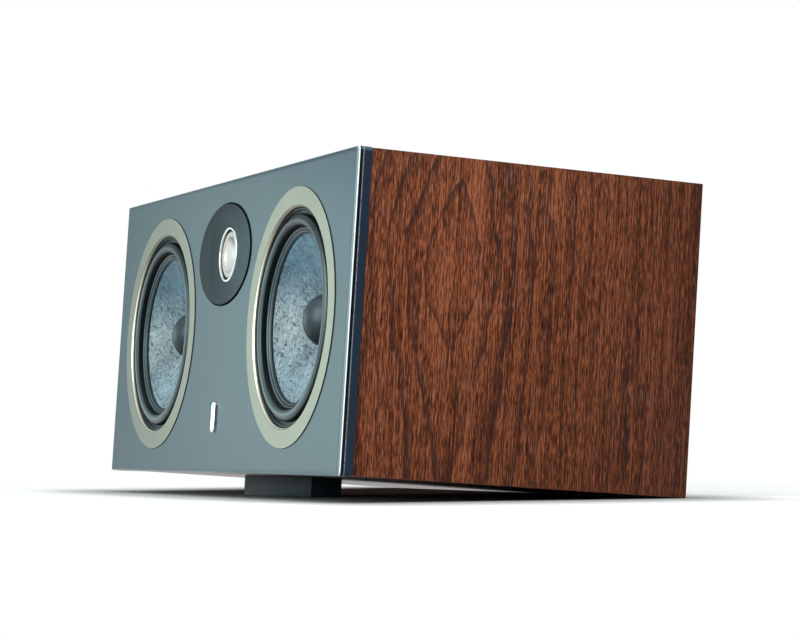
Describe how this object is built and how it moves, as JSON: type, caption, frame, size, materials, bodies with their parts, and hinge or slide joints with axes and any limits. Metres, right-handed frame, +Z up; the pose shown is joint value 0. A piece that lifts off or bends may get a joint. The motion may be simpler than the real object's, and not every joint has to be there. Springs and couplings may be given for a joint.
{
  "type": "center channel speaker",
  "caption": "Wide veneered loudspeaker with a painted baffle, woofers in pale trim rings beside a small inverted-dome tweeter, and a foot bar that leans it back.",
  "frame": {"origin": "on the floor, under the middle of the leaning cabinet's box", "axes": "+X to the right seen from in front, -Y towards the listener, +Z up; the cabinet leans back onto its foot and rear edge"},
  "size_m": [0.525, 0.2594, 0.2265],
  "materials": {
    "walnut_veneer": "satin open-grain veneer",
    "baffle_paint": "satin blue-grey paint",
    "black_board": "black textured foil",
    "raw_board": "raw fibreboard",
    "wadding": "fluffy wadding",
    "foot_plastic": "matte",
    "polished_metal": "polished",
    "ring_satin": "satin champagne grey",
    "black_casting": "black powder coat",
    "foam_rubber": "closed foam",
    "surround_rubber": "satin",
    "cone_fibre": "mottled slate fibre",
    "cap_rubber": "soft matte",
    "coil_copper": "enamelled wire",
    "spider_cloth": "resin-dipped cloth",
    "plated_steel": "zinc plated",
    "ferrite": "sintered",
    "screw_steel": "black oxide",
    "plate_plastic": "fine satin",
    "bezel_metal": "bright",
    "suspension_mesh": "fine silver weave",
    "dome_alloy": "satin",
    "black_plastic": "fine satin",
    "post_metal": "gold plated",
    "red_plastic": "gloss",
    "board_laminate": "solder-masked laminate",
    "capacitor_film": "film wrap",
    "resistor_ceramic": "cement case"
  },
  "bodies": {
    "cabinet": {"top_panel": "walnut_veneer", "bottom_panel": "walnut_veneer", "left_side_panel": "walnut_veneer", "right_side_panel": "walnut_veneer", "front_baffle": "baffle_paint", "rear_panel": "black_board", "left_brace": "raw_board", "left_damping_pad": "wadding", "right_brace": "raw_board", "right_damping_pad": "wadding", "front_foot": "foot_plastic", "badge": "polished_metal", "left_trim_ring": "ring_satin", "right_trim_ring": "ring_satin", "left_basket": "black_casting", "right_basket": "black_casting", "left_gasket": "foam_rubber", "right_gasket": "foam_rubber", "left_surround": "surround_rubber", "right_surround": "surround_rubber", "left_spider": "spider_cloth", "right_spider": "spider_cloth", "left_top_plate": "plated_steel", "right_top_plate": "plated_steel", "left_magnet": "ferrite", "right_magnet": "ferrite", "left_yoke": "plated_steel", "right_yoke": "plated_steel", "left_screws": "screw_steel", "right_screws": "screw_steel", "tweeter_faceplate": "plate_plastic", "tweeter_bezel": "bezel_metal", "tweeter_suspension": "suspension_mesh", "tweeter_top_plate": "plated_steel", "tweeter_magnet": "ferrite", "tweeter_yoke": "plated_steel", "tweeter_rear_chamber": "black_plastic", "port_tube": "black_plastic", "terminal_cup": "black_plastic", "terminal_screws": "screw_steel", "red_post": "post_metal", "black_post": "post_metal", "post_nuts": "post_metal", "crossover_board": "board_laminate", "crossover_spacers": "black_plastic", "crossover_coils": "coil_copper", "crossover_capacitors": "capacitor_film", "crossover_resistors": "resistor_ceramic"},
    "left_cone_assembly": {"left_cone": "cone_fibre", "left_dust_cap": "cap_rubber", "left_voice_coil": "coil_copper"},
    "right_cone_assembly": {"right_cone": "cone_fibre", "right_dust_cap": "cap_rubber", "right_voice_coil": "coil_copper"},
    "tweeter_diaphragm": {"tweeter_dome": "dome_alloy", "tweeter_voice_coil": "coil_copper"},
    "red_binding_cap": {"red_cap": "red_plastic"},
    "black_binding_cap": {"black_cap": "black_plastic"}
  },
  "joints": [
    {"name": "left_cone_travel", "type": "slide", "parent": "cabinet", "child": "left_cone_assembly", "axis": [0, -0.9973, 0.0731], "range_m": [-0.004, 0.004], "stiffness_N_per_m": 1200, "deforming": ["left_surround", "left_spider"]},
    {"name": "right_cone_travel", "type": "slide", "parent": "cabinet", "child": "right_cone_assembly", "axis": [0, -0.9973, 0.0731], "range_m": [-0.004, 0.004], "stiffness_N_per_m": 1200, "deforming": ["right_surround", "right_spider"]},
    {"name": "tweeter_dome_travel", "type": "slide", "parent": "cabinet", "child": "tweeter_diaphragm", "axis": [0, -0.9973, 0.0731], "range_m": [-0.0003, 0.0003], "stiffness_N_per_m": 1500, "deforming": ["tweeter_suspension"]},
    {"name": "red_cap_turn", "type": "hinge", "parent": "cabinet", "child": "red_binding_cap", "pos_m": [0.019, 0.11666, 0.05719], "axis": [0, 0.9973, -0.0731], "range_deg": [0, 1800]},
    {"name": "black_cap_turn", "type": "hinge", "parent": "cabinet", "child": "black_binding_cap", "pos_m": [-0.019, 0.11666, 0.05719], "axis": [0, 0.9973, -0.0731], "range_deg": [0, 1800]}
  ]
}
